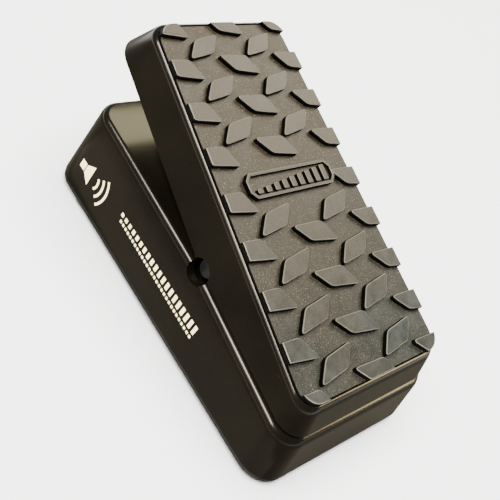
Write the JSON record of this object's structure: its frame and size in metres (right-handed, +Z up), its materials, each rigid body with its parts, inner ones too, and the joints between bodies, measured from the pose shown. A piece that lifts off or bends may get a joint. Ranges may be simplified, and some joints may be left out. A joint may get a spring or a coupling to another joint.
{
  "type": "volume pedal",
  "caption": "Compact treadle volume pedal: rocking footplate with slanted tread blocks on a cast base, band-driven potentiometer inside and phone sockets in the toe.",
  "frame": {"origin": "on the ground under the middle of the base", "axes": "+X to the right of the pedal, +Y from heel to toe, +Z up"},
  "size_m": [0.08, 0.1348, 0.0691],
  "materials": {
    "painted_casting": "satin black powder coat",
    "plate_steel": "flat black paint",
    "tread_rubber": "moulded grey rubber",
    "foot_rubber": "black rubber",
    "bright_steel": "plated steel",
    "zinc_screw": "zinc plated",
    "dark_screw": "black oxide",
    "bronze": "turned bronze and brass",
    "nylon": "natural nylon",
    "black_plastic": "black moulded plastic",
    "board_laminate": "green laminate"
  },
  "bodies": {
    "chassis": {"base_shell": "painted_casting", "bottom_plate": "plate_steel", "bottom_plate_screws": "zinc_screw", "rubber_feet": "foot_rubber", "pivot_bushes": "bronze", "friction_block": "nylon", "input_jack": "black_plastic", "output_jack": "black_plastic", "tuner_jack": "black_plastic", "jack_washers": "bright_steel", "jack_nuts": "bright_steel", "pot_body": "bright_steel", "pot_terminals": "bronze", "pot_nut": "bright_steel", "pot_bracket": "bright_steel", "bracket_screws": "zinc_screw", "circuit_board": "board_laminate", "board_standoffs": "bronze", "board_screws": "zinc_screw", "board_parts": "black_plastic", "mode_switch": "bright_steel"},
    "treadle": {"treadle_shell": "painted_casting", "tread_pad": "tread_rubber", "pivot_axle": "dark_screw", "axle_collars": "bright_steel", "lug_screws": "dark_screw", "drive_sector": "bright_steel", "sector_screws": "zinc_screw", "drive_band": "bright_steel", "band_screws": "zinc_screw", "toe_bumpers": "foot_rubber", "heel_bumpers": "foot_rubber"},
    "pot_rotor": {"pot_shaft": "bright_steel", "band_drum": "bronze", "band_loop": "bright_steel", "drum_screw": "dark_screw"},
    "friction_screw": {"friction_screw": "zinc_screw"},
    "mode_slider": {"mode_slider": "nylon"}
  },
  "joints": [
    {"name": "treadle_rock", "type": "hinge", "parent": "chassis", "child": "treadle", "pos_m": [0, -0.00626, 0.0293], "axis": [1, 0, 0], "range_deg": [-15, 0]},
    {"name": "pot_turn", "type": "hinge", "parent": "chassis", "child": "pot_rotor", "pos_m": [0, 0.03191, 0.01541], "axis": [1, 0, 0], "range_deg": [-10, 290]},
    {"name": "friction_adjust", "type": "hinge", "parent": "chassis", "child": "friction_screw", "pos_m": [0, -0.00626, 0.01], "axis": [0, 0, 1], "range_deg": [-180, 180]},
    {"name": "mode_slide", "type": "slide", "parent": "chassis", "child": "mode_slider", "axis": [1, 0, 0], "range_m": [0, 0.002]}
  ],
  "couplings": [
    {"joint": "pot_turn", "follows": "treadle_rock", "ratio": -8.2414}
  ]
}
